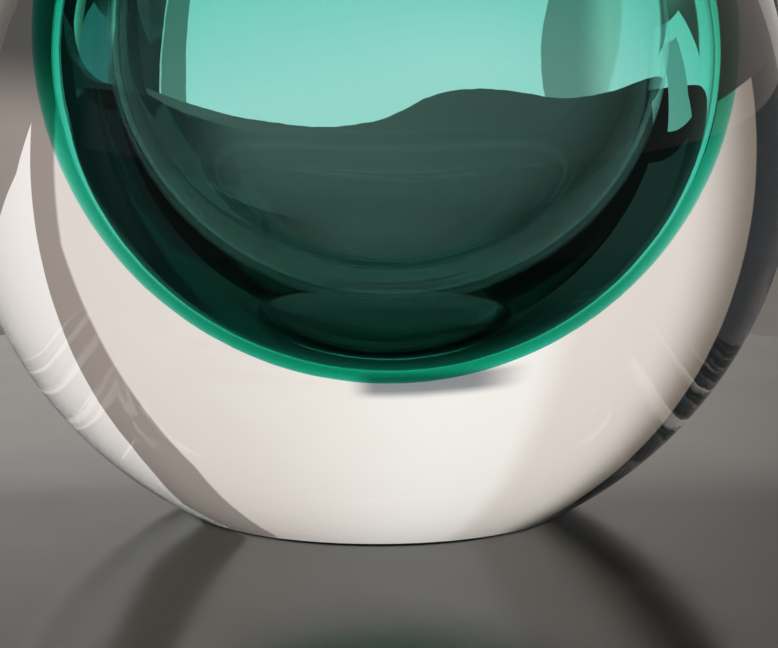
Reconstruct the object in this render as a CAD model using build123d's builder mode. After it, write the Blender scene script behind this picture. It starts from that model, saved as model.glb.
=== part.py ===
from build123d import *

import os

# A heavy cased glass bowl: an oval green bubble inside a thick ball of clear crystal.
# Millimetres, +Z up. The origin is the middle of the ground flat foot, so the bowl stands on Z = 0.
# The front is -Y. The two glasses meet face to face, because they are fused.

# Driving dimensions
body_radius = 75.0            # the ball of clear crystal
bowl_height = 105.0           # from the ground foot to the cut rim
centre_height = 67.0          # the ball's centre above the foot
hollow_half_width = 41.5      # the air bubble, along X
hollow_half_depth = 27.2      # along Y, shallower than it is wide
hollow_half_height = 41.2     # along Z, before the rim cuts it
hollow_rise = 13.0            # the bubble's centre above the ball's centre
emerald_half_width = 44.7     # the outside of the green glass, along X
emerald_half_depth = 29.8     # along Y
emerald_half_height = 47.0    # along Z
emerald_rise = 17.6           # its centre above the ball's centre
bubble_shift = 1.4            # the hand-blown bubble sits this much to the right of the ball's axis
foot_round = 2.0              # the eased edge of the ground foot
rim_round = 1.2               # the polished outer edge of the rim
lip_round = 0.8               # the polished edge of the mouth

# Heights of the two oval centres above the foot
hollow_centre = centre_height + hollow_rise
emerald_centre = centre_height + emerald_rise

# Radii of the flat foot and of the cut rim
foot_radius = (body_radius**2 - centre_height**2) ** 0.5
rim_radius = (body_radius**2 - (bowl_height - centre_height) ** 2) ** 0.5


# Clear crystal: the ball, cut flat at the foot and the rim
with BuildPart() as crystal_casing:
    with BuildSketch(Plane.XZ):
        with BuildLine():
            Line((0, bowl_height), (0, 0))
            Line((0, 0), (foot_radius, 0))
            ThreePointArc((foot_radius, 0), (body_radius, centre_height), (rim_radius, bowl_height))
            Line((rim_radius, bowl_height), (0, bowl_height))
        make_face()
    revolve(axis=Axis.Z)
    outer_edges = crystal_casing.edges().filter_by(GeomType.CIRCLE).group_by(Axis.Z)
    fillet(outer_edges[0], radius=foot_round)
    rim_edges = crystal_casing.edges().filter_by(GeomType.CIRCLE).group_by(Axis.Z)
    fillet(rim_edges[-1], radius=rim_round)

# The oval outside of the green glass, cut flat at the rim; the crystal is hollowed by the same shape
with BuildPart() as emerald_oval:
    Sphere(1.0)
    scale(by=(emerald_half_width, emerald_half_depth, emerald_half_height))
emerald_space = Pos(bubble_shift, 0, emerald_centre) * emerald_oval.part

with BuildPart() as hollow_oval:
    Sphere(1.0)
    scale(by=(hollow_half_width, hollow_half_depth, hollow_half_height))
hollow_space = Pos(bubble_shift, 0, hollow_centre) * hollow_oval.part

with crystal_casing:
    add(emerald_space, mode=Mode.SUBTRACT)

# Emerald glass: a shell between the crystal and the air, thinnest under the hollow
with BuildPart() as emerald_layer:
    add(emerald_space)
    add(hollow_space, mode=Mode.SUBTRACT)
    with Locations((0, 0, bowl_height)):
        Box(
            2 * body_radius,
            2 * body_radius,
            body_radius,
            align=(Align.CENTER, Align.CENTER, Align.MIN),
            mode=Mode.SUBTRACT,
        )
    rim_face = emerald_layer.faces().sort_by(Axis.Z)[-1]
    fillet(rim_face.inner_wires()[0].edges(), radius=lip_round)

crystal_casing.part.label = "crystal_casing"
emerald_layer.part.label = "emerald_layer"

os.makedirs("parts", exist_ok=True)
export_step(crystal_casing.part, "parts/crystal_casing.step")
export_step(emerald_layer.part, "parts/emerald_layer.step")
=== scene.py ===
"""A cased glass bowl: an oval green bubble in a thick ball of clear crystal, in soft studio light."""

import math

import bmesh
import bpy
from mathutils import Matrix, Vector


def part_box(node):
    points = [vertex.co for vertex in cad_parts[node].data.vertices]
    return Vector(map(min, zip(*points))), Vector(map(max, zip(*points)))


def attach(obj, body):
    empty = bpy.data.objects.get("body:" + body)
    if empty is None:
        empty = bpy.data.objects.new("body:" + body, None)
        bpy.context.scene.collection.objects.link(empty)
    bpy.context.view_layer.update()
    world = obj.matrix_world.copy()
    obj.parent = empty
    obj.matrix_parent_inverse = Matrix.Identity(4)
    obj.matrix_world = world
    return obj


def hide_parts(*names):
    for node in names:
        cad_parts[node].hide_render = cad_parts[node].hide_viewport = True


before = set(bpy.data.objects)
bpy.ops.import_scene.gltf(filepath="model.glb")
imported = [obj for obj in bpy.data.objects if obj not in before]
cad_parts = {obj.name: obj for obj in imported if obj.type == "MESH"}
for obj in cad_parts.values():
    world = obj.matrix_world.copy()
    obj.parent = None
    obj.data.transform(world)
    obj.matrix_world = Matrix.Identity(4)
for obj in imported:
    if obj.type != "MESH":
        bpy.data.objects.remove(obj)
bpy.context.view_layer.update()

# ---------------------------------------------------------------- sizes, in metres
MM = 0.001
CASING_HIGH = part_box("crystal_casing")[1]
GREEN_LOW, GREEN_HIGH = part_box("emerald_layer")
BOWL_HEIGHT = CASING_HIGH[2]
BODY_RADIUS = CASING_HIGH[0]
CENTRE_HEIGHT = 67.0 * MM                     # the ball's centre above the foot
BUBBLE_SHIFT = (GREEN_LOW[0] + GREEN_HIGH[0]) / 2
GREEN_HALF = Vector((GREEN_HIGH[0] - BUBBLE_SHIFT, GREEN_HIGH[1], 47.0 * MM))
GREEN_CENTRE = Vector((BUBBLE_SHIFT, 0, GREEN_LOW[2] + GREEN_HALF.z))
HOLLOW_HALF = Vector((41.5 * MM, 27.2 * MM, 41.2 * MM))
HOLLOW_CENTRE = Vector((BUBBLE_SHIFT, 0, CENTRE_HEIGHT + 13.0 * MM))
FOOT_ROUND = 2.0 * MM
RIM_ROUND = 1.2 * MM
LIP_ROUND = 0.8 * MM
FUSED_GAP = 0.01 * MM                         # keeps the two fused faces from lying in one place

# the soft wave across the front of the hollow, placed from the hollow's centre
WAVE_SLOPE = 0.091
WAVE_X = 11.2 * MM
WAVE_WIDTH = 13.3 * MM
WAVE_Z = -3.5 * MM
WAVE_TALL = 11 * MM
WAVE_EASE = 10 * MM                           # the wave grows to its full depth this far before the axis

# how finely the meshes are drawn
AROUND = 288                                  # steps around the bowl
BALL_STEPS = 160
GREEN_STEPS = 110
HOLLOW_STEPS = 130
ARC_STEPS = 6
RIM_STEPS = 7
FOOT_RINGS = (0, 4 * MM, 10 * MM, 16 * MM, 22 * MM, 27 * MM)        # radii across the flat foot
LIP_RINGS = (0.15, 0.5, 0.85)                 # shares of the way across the green glass at the rim
LEAD = 3                                      # steps from a corner to the point that gives its direction
GUARD = 0.2 * MM                              # keeps rings from crowding where an arc ends
NO_WIDTH = 1e-7                               # a ring narrower than this is a single point

# the two kinds of face, as material indices
PLAIN = 0
FUSED = 1

# the glasses
GLASS_IOR = 1.5
WAVINESS = 0.02 * MM                          # height of the clear glass's unevenness
WEAR_SPAN = (0.2 * MM, 1.2 * MM)              # heights between which the foot's wear dies out
WEAR_ROUGHNESS = 0.12
SCRATCH_SPAN = (0.45, 0.6)                    # noise values between which a scratch deepens
DEEP_SPAN = (38 * MM, 62 * MM)                # heights between which the deeper green dies out
DEEP_GREEN = (0.13, 0.60, 0.48)
STREAK_SHARE = 0.93                           # the least that a streak leaves of the fused face's clearness
LOSS = (275, 56, 88)                          # light lost per metre of green glass: red, green, blue
LOSS_SCALE = 285                              # a little above the largest loss


# ---------------------------------------------------------------- shapes
def blend(start, end, share):
    return start + (end - start) * share


def arc_angles(low, high, steps):
    return [low + (high - low) * k / steps for k in range(steps + 1)]


def ball_outline(low, high, steps):
    """Points (r, z) on the ball's outline from height low up to height high."""
    first = math.asin((low - CENTRE_HEIGHT) / BODY_RADIUS)
    last = math.asin((high - CENTRE_HEIGHT) / BODY_RADIUS)
    return [
        (BODY_RADIUS * math.cos(a), CENTRE_HEIGHT + BODY_RADIUS * math.sin(a))
        for a in arc_angles(first, last, steps)
    ]


def oval_outline(centre, half, steps):
    """Points (share of the oval's width, z) from the oval's lowest point up to the rim."""
    last = math.asin((BOWL_HEIGHT - centre.z) / half.z)
    return [
        (max(math.cos(a), 0.0), centre.z + half.z * math.sin(a))
        for a in arc_angles(-math.pi / 2, last, steps)
    ]


def rounded(before, corner, after, radius):
    """The arc that eases a corner between two straight directions, as (r, z) points."""
    corner = Vector(corner)
    a = (Vector(before) - corner).normalized()
    b = (Vector(after) - corner).normalized()
    half = a.angle(b) / 2
    middle = corner + (a + b).normalized() * radius / math.sin(half)
    start = corner + a * radius / math.tan(half) - middle
    end = corner + b * radius / math.tan(half) - middle
    swing = math.pi - 2 * half
    turn = swing if start.x * end.y - start.y * end.x > 0 else -swing
    points = []
    for t in arc_angles(0, turn, ARC_STEPS):
        r = middle.x + start.x * math.cos(t) - start.y * math.sin(t)
        z = middle.y + start.x * math.sin(t) + start.y * math.cos(t)
        points.append((r, z))
    return points


def ring(mesh, centre_x, half_x, half_y, z, bend=None):
    """One closed ring of points, or a single point where the ring has no width."""
    steps = 1 if half_x < NO_WIDTH else AROUND
    points = []
    for step in range(steps):
        a = 2 * math.pi * step / AROUND
        place = Vector((centre_x + half_x * math.cos(a), half_y * math.sin(a), z))
        points.append(mesh.verts.new(bend(place) if bend else place))
    return points


def skin(mesh, rings, kind):
    """Faces between neighbouring rings, PLAIN or FUSED."""
    for lower, upper in zip(rings, rings[1:]):
        for step in range(AROUND):
            after = (step + 1) % AROUND
            corners = [
                lower[step % len(lower)],
                lower[after % len(lower)],
                upper[after % len(upper)],
                upper[step % len(upper)],
            ]
            face = mesh.faces.new(list(dict.fromkeys(corners)))
            face.material_index = kind
            face.smooth = True


def finished(name, mesh):
    bmesh.ops.recalc_face_normals(mesh, faces=mesh.faces)
    data = bpy.data.meshes.new(name)
    mesh.to_mesh(data)
    mesh.free()
    piece = bpy.data.objects.new(name, data)
    bpy.context.scene.collection.objects.link(piece)
    return piece


# ---------------------------------------------------------------- unevenness of the hand-blown hollow
def swell(value, middle, width):
    return math.exp(-(((value - middle) / width) ** 2))


def hollow_bend(place):
    """The hollow's wall is not quite true: one soft wave crosses its front."""
    if place.y > 0:
        return place
    x = place.x - HOLLOW_CENTRE.x
    rise = (place.z - HOLLOW_CENTRE.z - WAVE_Z) / WAVE_TALL
    depth = WAVE_SLOPE * WAVE_TALL * swell(x, WAVE_X, WAVE_WIDTH) * rise * math.exp(-rise * rise)
    return place + Vector((0, -1, 0)) * depth * min(1.0, -place.y / WAVE_EASE)


# ---------------------------------------------------------------- the two glasses
def casing_outside():
    """Points (r, z) from the middle of the foot, up the ball, to the inner end of the rim's rounded edge."""
    ball = ball_outline(0, BOWL_HEIGHT, BALL_STEPS)
    foot_edge = rounded((0, 0), ball[0], ball[LEAD], FOOT_ROUND)
    rim_edge = rounded(ball[-1 - LEAD], ball[-1], (0, BOWL_HEIGHT), RIM_ROUND)
    foot = [(r, 0) for r in (*FOOT_RINGS, foot_edge[0][0] - GUARD)]
    wall = [(r, z) for r, z in ball if foot_edge[-1][1] + GUARD < z < rim_edge[0][1] - GUARD]
    return foot + foot_edge + wall + rim_edge


def build_casing():
    """The clear ball: its outside, the flat rim, and the oval socket that the green glass fills."""
    mesh = bmesh.new()
    outside = casing_outside()
    rings = [ring(mesh, 0, r, r, z) for r, z in outside]
    socket_half = GREEN_HALF + Vector((FUSED_GAP, FUSED_GAP, FUSED_GAP))
    socket = oval_outline(GREEN_CENTRE, socket_half, GREEN_STEPS)
    mouth = socket[-1][0]
    edge = outside[-1][0] - GUARD
    for k in range(RIM_STEPS + 1):
        t = k / RIM_STEPS
        half_x = blend(edge, socket_half.x * mouth, t)
        half_y = blend(edge, socket_half.y * mouth, t)
        rings.append(ring(mesh, BUBBLE_SHIFT * t, half_x, half_y, BOWL_HEIGHT))
    skin(mesh, rings, PLAIN)
    fused = [rings[-1]]
    for s, z in socket[-2::-1]:
        fused.append(ring(mesh, BUBBLE_SHIFT, socket_half.x * s, socket_half.y * s, z))
    skin(mesh, fused, FUSED)
    return finished("clear_crystal_ball", mesh)


def green_ring(mesh, half_x, half_y, z, bend=None):
    return ring(mesh, BUBBLE_SHIFT, half_x, half_y, z, bend)


def build_green():
    """The green lining: its fused outside, the lip at the rim, and the hollow."""
    mesh = bmesh.new()
    outside = oval_outline(GREEN_CENTRE, GREEN_HALF, GREEN_STEPS)
    rings = [green_ring(mesh, GREEN_HALF.x * s, GREEN_HALF.y * s, z) for s, z in outside]
    skin(mesh, rings, FUSED)
    inside = oval_outline(HOLLOW_CENTRE, HOLLOW_HALF, HOLLOW_STEPS)
    # the lip's arc, worked out across the width and used all round
    mouth = inside[-1][0]
    corner = (HOLLOW_HALF.x * mouth, BOWL_HEIGHT)
    outward = (GREEN_HALF.x, BOWL_HEIGHT)
    downward = (HOLLOW_HALF.x * inside[-1 - LEAD][0], inside[-1 - LEAD][1])
    lip = rounded(outward, corner, downward, LIP_ROUND)
    narrower = (HOLLOW_HALF.y - HOLLOW_HALF.x) * mouth
    edge = GREEN_HALF * outside[-1][0]
    inner = [rings[-1]]
    for t in LIP_RINGS:
        half_x = blend(edge.x, lip[0][0], t)
        half_y = blend(edge.y, lip[0][0] + narrower, t)
        inner.append(green_ring(mesh, half_x, half_y, BOWL_HEIGHT))
    for r, z in lip:
        inner.append(green_ring(mesh, r, r + narrower, z))
    for s, z in reversed(inside):
        if z < lip[-1][1] - GUARD:
            inner.append(green_ring(mesh, HOLLOW_HALF.x * s, HOLLOW_HALF.y * s, z, hollow_bend))
    skin(mesh, inner, PLAIN)
    piece = finished("green_glass_lining", mesh)
    mark_fused(piece)
    return piece


def mark_fused(piece):
    """Moves the kind of each face into an attribute, since the whole piece has one material."""
    fused = piece.data.attributes.new("fused", "FLOAT", "FACE")
    for face in piece.data.polygons:
        fused.data[face.index].value = face.material_index
        face.material_index = PLAIN


# ---------------------------------------------------------------- node helpers
def new_material(name):
    material = bpy.data.materials.new(name)
    material.use_nodes = True
    tree = material.node_tree
    tree.nodes.clear()
    output = tree.nodes.new("ShaderNodeOutputMaterial")
    return material, tree, output


def principled(tree, output):
    shader = tree.nodes.new("ShaderNodeBsdfPrincipled")
    tree.links.new(shader.outputs[0], output.inputs["Surface"])
    return shader


def own_place(tree):
    """Where a point lies on its own piece, in metres."""
    return tree.nodes.new("ShaderNodeTexCoord").outputs["Object"]


def axes(tree, place):
    split = tree.nodes.new("ShaderNodeSeparateXYZ")
    tree.links.new(place, split.inputs[0])
    return split.outputs


def maths(tree, kind, *values):
    """A Math node of this kind, whose values are numbers or sockets."""
    node = tree.nodes.new("ShaderNodeMath")
    node.operation = kind
    for socket, value in zip(node.inputs, values):
        if isinstance(value, (int, float)):
            socket.default_value = value
        else:
            tree.links.new(value, socket)
    return node.outputs[0]


def mapped(tree, value, span, result, easing="SMOOTHSTEP"):
    """Runs from result[0] to result[1] as value goes from span[0] up to span[1]."""
    node = tree.nodes.new("ShaderNodeMapRange")
    node.interpolation_type = easing
    node.inputs["From Min"].default_value = span[0]
    node.inputs["From Max"].default_value = span[1]
    node.inputs["To Min"].default_value = result[0]
    node.inputs["To Max"].default_value = result[1]
    tree.links.new(value, node.inputs["Value"])
    return node.outputs[0]


def ramp(tree, value, start, end):
    """Runs smoothly from 0 at start to 1 at end, where start may be the larger of the two."""
    if start < end:
        return mapped(tree, value, (start, end), (0.0, 1.0))
    return mapped(tree, value, (end, start), (1.0, 0.0))


def noise(tree, place, scale, detail):
    node = tree.nodes.new("ShaderNodeTexNoise")
    node.inputs["Scale"].default_value = scale
    node.inputs["Detail"].default_value = detail
    tree.links.new(place, node.inputs["Vector"])
    return node.outputs["Fac"]


def mixed(tree, share, first, second):
    """The first colour where share is 0 and the second where it is 1. The first may be a socket."""
    node = tree.nodes.new("ShaderNodeMix")
    node.data_type = "RGBA"
    tree.links.new(share, node.inputs["Factor"])
    if isinstance(first, tuple):
        node.inputs["A"].default_value = (*first, 1)
    else:
        tree.links.new(first, node.inputs["A"])
    node.inputs["B"].default_value = (*second, 1)
    return node.outputs["Result"]


# ---------------------------------------------------------------- glass materials
def glass(tree, output, ior=GLASS_IOR):
    shader = principled(tree, output)
    shader.inputs["Base Color"].default_value = (1, 1, 1, 1)
    shader.inputs["Roughness"].default_value = 0.0
    shader.inputs["Transmission Weight"].default_value = 1.0
    shader.inputs["IOR"].default_value = ior
    return shader


def hand_made(tree, shader, place, scale, height):
    """Shallow waviness of fire-polished glass, of this height in metres."""
    bump = tree.nodes.new("ShaderNodeBump")
    bump.inputs["Strength"].default_value = 1.0
    bump.inputs["Distance"].default_value = height
    tree.links.new(noise(tree, place, scale, detail=3), bump.inputs["Height"])
    tree.links.new(bump.outputs[0], shader.inputs["Normal"])


def crystal_material():
    """Clear, a little wavy, with faint wear where the foot stands."""
    material, tree, output = new_material("clear_crystal")
    shader = glass(tree, output)
    place = own_place(tree)
    hand_made(tree, shader, place, scale=70, height=WAVINESS)
    near_foot = mapped(tree, axes(tree, place)["Z"], WEAR_SPAN, (1.0, 0.0))
    fine = noise(tree, place, scale=900, detail=2)
    scratches = mapped(tree, fine, SCRATCH_SPAN, (0.0, WEAR_ROUGHNESS))
    tree.links.new(maths(tree, "MULTIPLY", near_foot, scratches), shader.inputs["Roughness"])
    return material


def fused_material():
    """Where the two glasses meet: the green runs deeper in colour towards the bottom, with faint streaks."""
    material, tree, output = new_material("fused_face")
    shader = glass(tree, output, ior=1.0)
    place = own_place(tree)
    height = mapped(tree, axes(tree, place)["Z"], DEEP_SPAN, (0.0, 1.0))
    streaks = noise(tree, place, scale=60, detail=3)
    faint = mapped(tree, streaks, (0.0, 1.0), (STREAK_SHARE, 1.0), easing="LINEAR")
    clearness = maths(tree, "MULTIPLY", height, faint)
    tree.links.new(mixed(tree, clearness, DEEP_GREEN, (1, 1, 1)), shader.inputs["Base Color"])
    return material


def green_material():
    """Green by absorption. Light goes straight through the fused faces: both glasses bend it alike."""
    material, tree, output = new_material("emerald_glass")
    shader = glass(tree, output)
    fused = tree.nodes.new("ShaderNodeAttribute")
    fused.attribute_name = "fused"
    ior = mapped(tree, fused.outputs["Fac"], (0.0, 1.0), (GLASS_IOR, 1.0), easing="LINEAR")
    tree.links.new(ior, shader.inputs["IOR"])
    hand_made(tree, shader, own_place(tree), scale=90, height=WAVINESS / 2)
    absorb = tree.nodes.new("ShaderNodeVolumeAbsorption")
    kept = [1 - loss / LOSS_SCALE for loss in LOSS]
    absorb.inputs["Color"].default_value = (*kept, 1)
    absorb.inputs["Density"].default_value = LOSS_SCALE
    tree.links.new(absorb.outputs[0], output.inputs["Volume"])
    return material


casing = build_casing()
casing.data.materials.append(crystal_material())
casing.data.materials.append(fused_material())
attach(casing, "root")
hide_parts("crystal_casing")

green = build_green()
green.data.materials.append(green_material())
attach(green, "root")
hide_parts("emerald_layer")


# ---------------------------------------------------------------- studio light, in degrees round the bowl
DEGREES = 180 / math.pi
BELOW = -91                                   # a degree past straight down and straight up
ABOVE = 91
ALL_ROUND = (-181, 181)
HARD = 0.5                                    # how far a hard edge fades
LEAN_FROM = 5.0                               # a leaning edge starts to lean at this elevation
LEAN_RISE = 30.0                              # and stops this much higher
BACKDROP_RIGHT = 35.5
BACKDROP_TOP = 75
BACKDROP_LEAN = 0.28
TOP_FADE = 8

ROOM = (0.11, 0.11, 0.11)
OVERHEAD = (0.45, 0.45, 0.43)
UNLIT_ROOM = (0.016, 0.019, 0.021)
LIT_TABLE = (0.18, 0.17, 0.16)
GREY_GAP = (0.36, 0.31, 0.275)
DARK_FOOT = (0.09, 0.085, 0.08)
BACKDROP_EDGE = (0.26, 0.22, 0.18)
CREAM = (0.82, 0.75, 0.69)
BRIGHT_CENTRE = (0.97, 0.93, 0.88)
GREY_MARK = (0.28, 0.29, 0.30)
BRIGHT_CARD = (1.05, 0.98, 0.98)


class Sky:
    """Layers soft-edged panels of light over a dim room, by direction."""

    def __init__(self):
        world = bpy.data.worlds.new("studio")
        bpy.context.scene.world = world
        world.use_nodes = True
        self.tree = world.node_tree
        self.tree.nodes.clear()
        direction = self.tree.nodes.new("ShaderNodeTexCoord").outputs["Generated"]
        x, y, z = axes(self.tree, direction)
        self.azimuth = maths(self.tree, "MULTIPLY", maths(self.tree, "ARCTAN2", x, y), DEGREES)
        self.elevation = maths(self.tree, "MULTIPLY", maths(self.tree, "ARCSINE", z), DEGREES)
        self.colour = ROOM

    def panel(self, azimuth, elevation, colour, side_fade=(1.0, 1.0), end_fade=(HARD, TOP_FADE), lean=0.0):
        """A panel between two azimuths and two elevations.

        side_fade is how far its left and right edges fade inwards, and end_fade its lower and upper ones.
        lean tips the right edge to the left as it rises.
        """
        left, right = azimuth
        low, high = elevation
        above = maths(self.tree, "MAXIMUM", maths(self.tree, "SUBTRACT", self.elevation, LEAN_FROM), 0.0)
        rise = maths(self.tree, "MINIMUM", above, LEAN_RISE)
        leaning = maths(self.tree, "MULTIPLY_ADD", rise, lean, self.azimuth)
        share = ramp(self.tree, self.azimuth, left, left + side_fade[0])
        others = (
            ramp(self.tree, leaning, right, right - side_fade[1]),
            ramp(self.tree, self.elevation, low, low + end_fade[0]),
            ramp(self.tree, self.elevation, high, high - end_fade[1]),
        )
        for edge in others:
            share = maths(self.tree, "MULTIPLY", share, edge)
        self.colour = mixed(self.tree, share, self.colour, colour)

    def shine(self):
        output = self.tree.nodes.new("ShaderNodeOutputWorld")
        background = self.tree.nodes.new("ShaderNodeBackground")
        self.tree.links.new(self.colour, background.inputs["Color"])
        self.tree.links.new(background.outputs[0], output.inputs[0])


def surroundings(sky):
    """The light overhead, then a dark room left of the backdrop and a grey gap right of it."""
    sky.panel(ALL_ROUND, (58, ABOVE), OVERHEAD, side_fade=(HARD, HARD), end_fade=(18, HARD))
    sky.panel((-100, -40), (BELOW, 62), UNLIT_ROOM, side_fade=(8, 1), end_fade=(HARD, 10))
    sky.panel((-110, -56), (BELOW, -6), LIT_TABLE, side_fade=(8, 34))
    sky.panel((20, 100), (BELOW, 75), GREY_GAP, side_fade=(1.5, 30))
    sky.panel((34, 100), (BELOW, -6), DARK_FOOT, side_fade=(4, 8), end_fade=(HARD, 10))


def backdrop(sky):
    """The cream backdrop: it falls off to a dark line at its left, and its right edge leans."""
    elevation = (BELOW, BACKDROP_TOP)
    sky.panel((-51, BACKDROP_RIGHT), elevation, BACKDROP_EDGE, side_fade=(0.7, 0.7), lean=BACKDROP_LEAN)
    sky.panel((-50, BACKDROP_RIGHT), elevation, CREAM, side_fade=(18, 0.8), lean=BACKDROP_LEAN)
    sky.panel((-21, 20), (0, 78), BRIGHT_CENTRE, side_fade=(6, 30), end_fade=(8, 4))
    # something small and grey on the backdrop, and a bright card at its foot
    sky.panel((-16, 3), (13.6, 17.6), GREY_MARK, side_fade=(7, 3), end_fade=(1.2, 1.5))
    sky.panel((8, 35), (BELOW, -10), BRIGHT_CARD, side_fade=(1, 3), end_fade=(HARD, 4))


def studio_light():
    sky = Sky()
    surroundings(sky)
    backdrop(sky)
    sky.shine()


studio_light()


# ---------------------------------------------------------------- table and floor
TABLE_RADIUS = 194 * MM
TABLE_TOP = -0.2 * MM
FLOOR_RADIUS = 3.0
FLOOR_TOP = -1.0 * MM
DISC_STEPS = 256

TABLE_DARK = (0.015, 0.014, 0.014)
TABLE_PAINTED_LIGHT = (0.3, 0.3, 0.3)                  # painted light: a pale patch on the table under the foot's front half, which shows up through the glass
PAINTED_LIGHT_EDGE = (32 * MM, 33 * MM)
PAINTED_LIGHT_FRONT = (-12 * MM, 6 * MM)
SHEEN_EDGE = (33 * MM, 36 * MM)               # the sheen begins round the foot
BACK_SPAN = (0, 60 * MM)                      # and is painted to grow from front to back, painted light stronger behind the bowl
BACK_PAINTED_SHEEN = (0.2, 0.75)
SIDE_SPAN = (-60 * MM, 110 * MM)              # and is painted to fade from left to right, painted light falling off away from the left
SIDE_PAINTED_SHEEN = (0.45, 0.035)
TABLE_ROUGHNESS = (0.14, 0.18)
GRAIN_SPAN = (0.3, 0.7)

PALE_FLOOR = (0.6, 0.57, 0.54)
FLOOR_ROUGHNESS = (0.45, 0.55)


def table_material():
    """Dark gloss, with painted light: a pale patch painted under the foot's front half, and a reflection
    that is off under the foot and painted strongest at the back and on the left.
    """
    material, tree, output = new_material("dark_gloss_table")
    shader = principled(tree, output)
    place = own_place(tree)
    x, y, _ = axes(tree, place)
    length = tree.nodes.new("ShaderNodeVectorMath")
    length.operation = "LENGTH"
    tree.links.new(place, length.inputs[0])
    away = length.outputs["Value"]
    # painted light: a pale patch on the table under the foot's front half
    under = mapped(tree, away, PAINTED_LIGHT_EDGE, (1.0, 0.0), easing="LINEAR")
    front = mapped(tree, y, PAINTED_LIGHT_FRONT, (1.0, 0.0))
    pale = maths(tree, "MULTIPLY", under, front)
    tree.links.new(mixed(tree, pale, TABLE_DARK, TABLE_PAINTED_LIGHT), shader.inputs["Base Color"])
    sheen = mapped(tree, away, SHEEN_EDGE, (0.0, 1.0))
    # painted light: the reflection is painted stronger at the back and weaker towards the right
    sheen = maths(tree, "MULTIPLY", sheen, mapped(tree, y, BACK_SPAN, BACK_PAINTED_SHEEN))
    sheen = maths(tree, "MULTIPLY", sheen, mapped(tree, x, SIDE_SPAN, SIDE_PAINTED_SHEEN))
    tree.links.new(sheen, shader.inputs["Specular IOR Level"])
    grain = noise(tree, place, scale=40, detail=4)
    tree.links.new(mapped(tree, grain, GRAIN_SPAN, TABLE_ROUGHNESS), shader.inputs["Roughness"])
    return material


def floor_material():
    material, tree, output = new_material("pale_floor")
    shader = principled(tree, output)
    shader.inputs["Base Color"].default_value = (*PALE_FLOOR, 1)
    grain = noise(tree, own_place(tree), scale=25, detail=5)
    tree.links.new(mapped(tree, grain, GRAIN_SPAN, FLOOR_ROUGHNESS), shader.inputs["Roughness"])
    return material


def stage_piece(name, mesh, height, material):
    data = bpy.data.meshes.new(name)
    mesh.to_mesh(data)
    mesh.free()
    thing = bpy.data.objects.new(name, data)
    thing.location.z = height
    data.materials.append(material)
    bpy.context.scene.collection.objects.link(thing)
    return thing


def limit_sight(thing, camera=False, diffuse=False, glossy=False, transmission=False, shadow=False):
    """Lets only these kinds of ray meet a stage piece."""
    thing.visible_camera = camera
    thing.visible_diffuse = diffuse
    thing.visible_glossy = glossy
    thing.visible_transmission = transmission
    thing.visible_shadow = shadow


def disc(name, radius, height, material):
    mesh = bmesh.new()
    bmesh.ops.create_circle(mesh, cap_ends=True, radius=radius, segments=DISC_STEPS)
    return stage_piece(name, mesh, height, material)


disc("turntable", TABLE_RADIUS, TABLE_TOP, table_material())
floor = disc("floor", FLOOR_RADIUS, FLOOR_TOP, floor_material())
limit_sight(floor, camera=True, diffuse=True, shadow=True)


# ---------------------------------------------------------------- cards, seen only through the glass
PAST_TABLE = -0.6 * MM                        # below the table's top, so it shows only past its edge
ON_TABLE = -0.1 * MM
JUST_ON_TABLE = -0.15 * MM

SCREEN_AWAY = 80 * MM
BOX_FROM = Vector((-17, 71, 62)) * MM         # where most light from the soft box leaves the ball
BOX_AWAY = 400 * MM
BOX_AZIMUTH = 55                              # in degrees


def light_material(name, colour, fade=None):
    """Plain light. fade, if given, is where along X it is whole and where it is gone, in millimetres."""
    material, tree, output = new_material(name)
    light = tree.nodes.new("ShaderNodeEmission")
    light.inputs["Color"].default_value = (*colour, 1)
    if fade is None:
        tree.links.new(light.outputs[0], output.inputs["Surface"])
        return material
    clear = tree.nodes.new("ShaderNodeBsdfTransparent")
    mix = tree.nodes.new("ShaderNodeMixShader")
    x = axes(tree, own_place(tree))["X"]
    tree.links.new(ramp(tree, x, fade[0] * MM, fade[1] * MM), mix.inputs[0])
    tree.links.new(light.outputs[0], mix.inputs[1])
    tree.links.new(clear.outputs[0], mix.inputs[2])
    tree.links.new(mix.outputs[0], output.inputs["Surface"])
    return material


def card(name, corners, colour, height=PAST_TABLE, fade=None):
    """A flat card. Corners and fade are in millimetres."""
    mesh = bmesh.new()
    mesh.faces.new([mesh.verts.new((x * MM, y * MM, 0)) for x, y in corners])
    thing = stage_piece(name, mesh, height, light_material(name, colour, fade))
    limit_sight(thing, transmission=True)
    return thing


def strip(left, right, near, far):
    return ((left, near), (right, near), (right, far), (left, far))


def stand_up(thing, place, azimuth=0):
    """Stands a card upright at a place, facing the bowl from this azimuth in degrees."""
    thing.rotation_euler = (math.pi / 2, 0, -math.radians(azimuth))
    thing.location = place


def cards_past_table():
    """What lies past the table's edge, from left to right."""
    outline = ((-205, 15), (-185, 130), (-300, 182), (-430, 190), (-430, 15))
    card("card_dark", strip(-205, -82, -20, 400), (0.03, 0.03, 0.033))
    card("card_left", outline, (0.15, 0.22, 0.24))
    card("card_edge", strip(-82, -64, 20, 400), (0.25, 0.28, 0.25))
    card("card_white", strip(-64, 38, 20, 400), (1.0, 0.98, 0.98))
    card("card_grey", strip(38, 74, 20, 400), (0.36, 0.36, 0.34), fade=(50, 73))
    card("card_right", strip(135, 400, -30, 158), (1.0, 0.93, 0.93))
    card("card_line", strip(-83.5, -82, 20, 400), (1.1, 1.1, 1.0))


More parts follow.
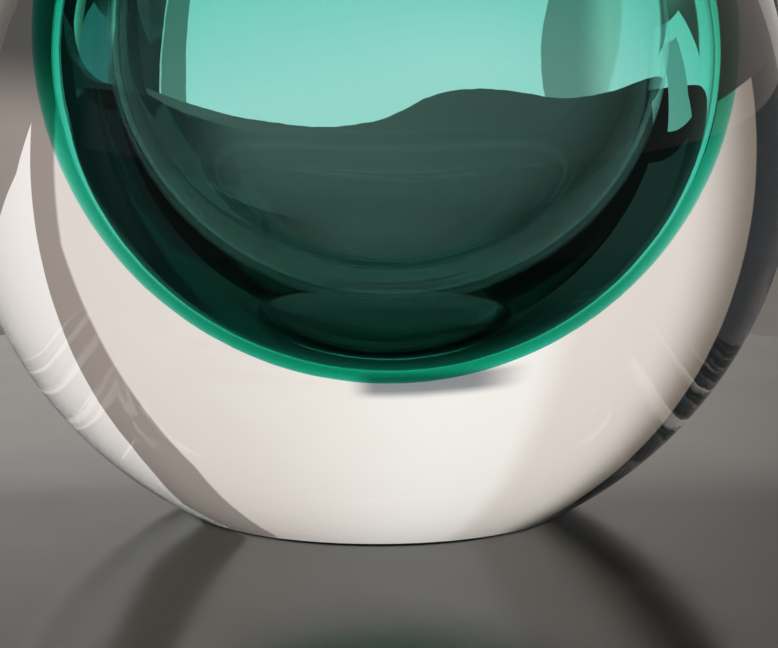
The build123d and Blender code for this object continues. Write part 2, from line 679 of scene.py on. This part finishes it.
def cards_on_table():
    """Painted light on the table: a glowing card for its sheen at the right, and dark cards for painted
    shade close behind the bowl.
    """
    # painted reflection: a glowing card for the soft box's reflection in the table at the right
    outline = ((138, 30), (300, 0), (300, 78), (160, 85), (128, 100))
    card("card_sheen", outline, (0.48, 0.48, 0.46), height=ON_TABLE)
    # painted shade: dark cards on the table close behind the bowl, on both sides
    outline = ((-165, -5), (-30, -5), (-30, 180), (-115, 155), (-165, 90))
    card("card_painted_shade", outline, (0.012, 0.014, 0.014), height=ON_TABLE, fade=(-70, -30))
    outline = strip(-72, 0, -5, 95)
    card("card_near", outline, (0.02, 0.02, 0.02), height=JUST_ON_TABLE, fade=(-45, -8))
    outline = strip(15, 115, 8, 95)
    card("card_near_right", outline, (0.035, 0.035, 0.033), height=JUST_ON_TABLE, fade=(55, 20))


def dark_screen():
    screen = card("card_screen", strip(-112, -69, 0, 65), (0.008, 0.012, 0.012))
    stand_up(screen, (0, SCREEN_AWAY, 0))


def box_corner(azimuth, elevation):
    """A point of the soft box's plane, seen from BOX_FROM at this azimuth and elevation, in millimetres."""
    side = math.tan(math.radians(azimuth - BOX_AZIMUTH))
    rise = math.tan(math.radians(elevation)) * math.sqrt(1 + side * side)
    return (side * BOX_AWAY / MM, rise * BOX_AWAY / MM)


def soft_box():
    """A soft box at the right, its outline given as azimuths and elevations in degrees."""
    foot = ((40, -8), (44, -2.5), (52, 4), (60, 5), (79, 7))
    top = ((79, 64), (50, 64), (50, 52), (43, 41), (41, 34))
    box = card("card_soft_box", [box_corner(*place) for place in foot + top], (1.0, 0.95, 0.91))
    turn = math.radians(BOX_AZIMUTH)
    away = Vector((math.sin(turn), math.cos(turn), 0)) * BOX_AWAY
    stand_up(box, BOX_FROM + away, BOX_AZIMUTH)


def dark_floor():
    """A dark floor that only reflections meet, so that the bowl's skin stays dark near its outline."""
    thing = disc("dark_floor", FLOOR_RADIUS, PAST_TABLE, light_material("dark_floor", (0.03, 0.03, 0.033)))
    limit_sight(thing, glossy=True)


cards_past_table()
cards_on_table()
dark_screen()
soft_box()
dark_floor()


# ---------------------------------------------------------------- camera and light paths
DISTANCE = 0.9
LOOK_DOWN = math.radians(7.8)                 # from the camera down to the ball's centre
TILT = math.radians(2.13)                     # the ball stands high in the frame
PAN = math.radians(0.14)
BALL_SHARE = 0.5418                           # the ball's radius as a share of the frame's width
SENSOR_WIDTH = 36                             # in millimetres, as the camera counts it
NEAREST = 0.01
GLASS_BOUNCES = 32
OTHER_BOUNCES = 16


def aim_camera():
    data = bpy.data.cameras.new("camera")
    camera = bpy.data.objects.new("camera", data)
    bpy.context.scene.collection.objects.link(camera)
    data.sensor_width = SENSOR_WIDTH
    data.lens = SENSOR_WIDTH * BALL_SHARE / math.tan(math.asin(BODY_RADIUS / DISTANCE))
    data.clip_start = NEAREST
    back = DISTANCE * math.cos(LOOK_DOWN)
    camera.location = (0, -back, CENTRE_HEIGHT + DISTANCE * math.sin(LOOK_DOWN))
    camera.rotation_euler = (math.pi / 2 - LOOK_DOWN - TILT, 0, -PAN)
    bpy.context.scene.camera = camera


def set_light_paths():
    """Glass in glass needs many bounces before its light gets out."""
    scene = bpy.context.scene
    scene.view_settings.view_transform = "Standard"
    scene.cycles.max_bounces = GLASS_BOUNCES
    scene.cycles.transmission_bounces = GLASS_BOUNCES
    scene.cycles.glossy_bounces = OTHER_BOUNCES
    scene.cycles.transparent_max_bounces = OTHER_BOUNCES
    scene.cycles.use_denoising = True


aim_camera()
set_light_paths()
